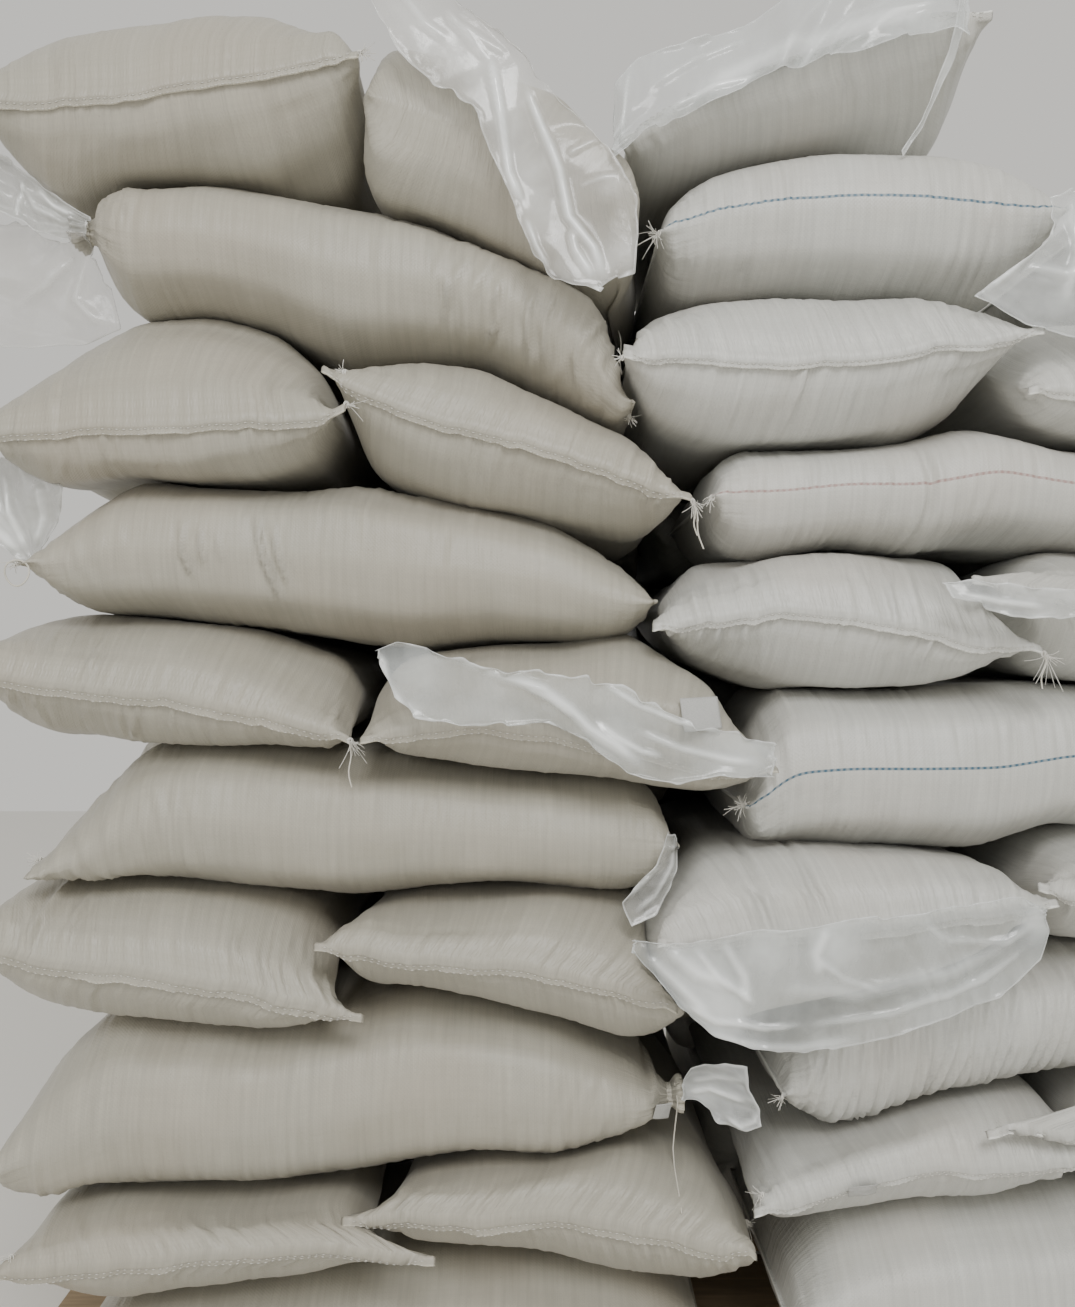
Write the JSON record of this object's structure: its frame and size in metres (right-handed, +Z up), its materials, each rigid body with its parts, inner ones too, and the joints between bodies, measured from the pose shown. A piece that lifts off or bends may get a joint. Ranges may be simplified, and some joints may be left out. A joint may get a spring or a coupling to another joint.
{
  "type": "pallet of sacks",
  "caption": "Timber pallet loaded with filled woven polypropylene sacks in a cross-tied stack of two columns, with sewn hems, tied necks and loose translucent mouths.",
  "frame": {"origin": "middle of the underside of the pallet's centre bottom board", "axes": "+Z up, +X to the right along the face of the stack that shows, +Y into its depth"},
  "size_m": [2.005, 1.52, 2.15],
  "materials": {
    "sack_ivory": "satin",
    "sack_white": "satin",
    "timber": "matte"
  },
  "bodies": {
    "root": {"bottom_board_1": "timber", "bottom_board_2": "timber", "bottom_board_3": "timber", "deck_board_1": "timber", "deck_board_2": "timber", "deck_board_3": "timber", "deck_board_4": "timber", "deck_board_5": "timber", "layer01_back_left": "sack_ivory", "layer01_back_right": "sack_white", "layer01_sack_1": "sack_ivory", "layer01_sack_2": "sack_white", "layer02_back_left": "sack_ivory", "layer02_back_right": "sack_white", "layer02_sack_1": "sack_ivory", "layer02_sack_2": "sack_ivory", "layer02_sack_3": "sack_white", "layer02_sack_4": "sack_white", "layer03_back_left": "sack_ivory", "layer03_back_right": "sack_white", "layer03_sack_1": "sack_ivory", "layer03_sack_2": "sack_white", "layer04_back_left": "sack_ivory", "layer04_back_right": "sack_white", "layer04_sack_1": "sack_ivory", "layer04_sack_2": "sack_ivory", "layer04_sack_3": "sack_white", "layer04_sack_4": "sack_white", "layer05_back_left": "sack_ivory", "layer05_back_right": "sack_white", "layer05_sack_1": "sack_ivory", "layer05_sack_2": "sack_white", "layer06_back_left": "sack_ivory", "layer06_back_right": "sack_white", "layer06_sack_1": "sack_ivory", "layer06_sack_2": "sack_ivory", "layer06_sack_3": "sack_white", "layer06_sack_4": "sack_white", "layer07_back_left": "sack_ivory", "layer07_back_right": "sack_white", "layer07_sack_1": "sack_ivory", "layer07_sack_2": "sack_white", "layer08_back_left": "sack_ivory", "layer08_back_right": "sack_white", "layer08_sack_1": "sack_ivory", "layer08_sack_2": "sack_ivory", "layer08_sack_3": "sack_white", "layer08_sack_4": "sack_white", "layer09_back_left": "sack_ivory", "layer09_back_right": "sack_white", "layer09_sack_1": "sack_ivory", "layer09_sack_2": "sack_white", "layer09_sack_3": "sack_white", "layer10_back_left": "sack_ivory", "layer10_sack_1": "sack_ivory", "layer10_sack_2": "sack_ivory", "layer10_sack_3": "sack_white", "stringer_1": "timber", "stringer_2": "timber", "stringer_3": "timber"}
  },
  "joints": []
}
